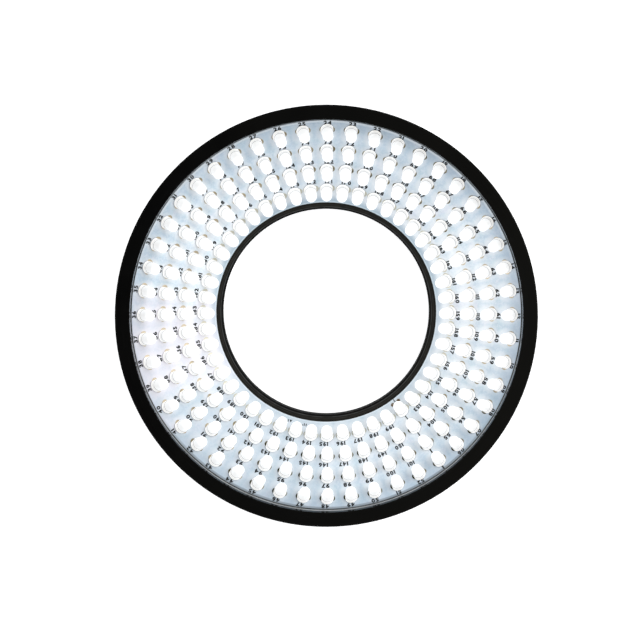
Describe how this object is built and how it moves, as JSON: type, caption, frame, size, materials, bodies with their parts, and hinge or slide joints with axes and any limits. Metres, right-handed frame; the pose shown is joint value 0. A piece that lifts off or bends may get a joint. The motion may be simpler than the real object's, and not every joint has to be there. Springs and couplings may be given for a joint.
{
  "type": "machine vision ring light",
  "caption": "Flat ring light for a machine vision camera: black housing with a wide bore, and lamps on a sloped white board that all aim inwards and forwards.",
  "frame": {"origin": "on the axis of the bore, in the plane of the flat back face, which is also the bottom centre of the box", "axes": "+Z along the bore towards the lit face; +Y is up in the picture; -Y is the side with the cable inlet"},
  "size_m": [0.12, 0.12, 0.027],
  "materials": {
    "adhesive_tape": "adhesive transfer tape",
    "black_anodised": "hard black anodised, fine blasted grain",
    "black_anodised_collar": "charcoal anodised, turned",
    "black_anodised_plate": "black anodised, satin",
    "black_rubber": "matt",
    "brass": "turned",
    "gland_plastic": "moulded nylon, black",
    "green_board": "green solder mask",
    "insulation_film": "amber film",
    "lamp_epoxy": "clear epoxy, lit",
    "lead_wire": "tinned steel",
    "nylon_white": "moulded nylon",
    "pad_gold": "gilt copper pads",
    "resistor_black": "moulded, matt",
    "screw_black": "black oxide",
    "screw_steel": "zinc plated",
    "solder_tin": "tinned, slightly dull",
    "white_board": "white solder mask, lit from inside",
    "wire_black": "insulation",
    "wire_red": "insulation"
  },
  "bodies": {
    "root": {"back_gasket": "black_rubber", "back_plate": "black_anodised_plate", "back_plate_screws": "screw_black", "board_support_posts": "nylon_white", "cable_gland_body": "gland_plastic", "cable_gland_cap": "gland_plastic", "cable_gland_locknut": "gland_plastic", "cable_gland_seal": "black_rubber", "cable_gland_washer": "black_rubber", "collar_screws": "screw_black", "housing_shell": "black_anodised", "inner_collar": "black_anodised_collar", "inner_tape_ring": "adhesive_tape", "insulation_sheet": "insulation_film", "lamp_board": "white_board", "lamp_leads_inner_ring": "lead_wire", "lamp_leads_outer_ring": "lead_wire", "lamp_leads_second_ring": "lead_wire", "lamp_leads_third_ring": "lead_wire", "lamps_inner_ring": "lamp_epoxy", "lamps_outer_ring": "lamp_epoxy", "lamps_second_ring": "lamp_epoxy", "lamps_third_ring": "lamp_epoxy", "outer_tape_ring": "adhesive_tape", "protection_diode": "resistor_black", "protection_diode_tabs": "solder_tin", "rear_mount_inserts": "screw_steel", "resettable_fuse": "green_board", "resistor_end_caps": "solder_tin", "seam_solder_bridges": "solder_tin", "series_resistors": "resistor_black", "solder_pads_inner_ring": "pad_gold", "solder_pads_outer_ring": "pad_gold", "solder_pads_second_ring": "pad_gold", "solder_pads_third_ring": "pad_gold", "supply_connector": "nylon_white", "supply_connector_pins": "solder_tin", "supply_wire_negative": "wire_black", "supply_wire_positive": "wire_red", "terminal_board": "green_board", "terminal_board_screws": "screw_steel", "terminal_board_spacers": "brass"}
  },
  "joints": []
}
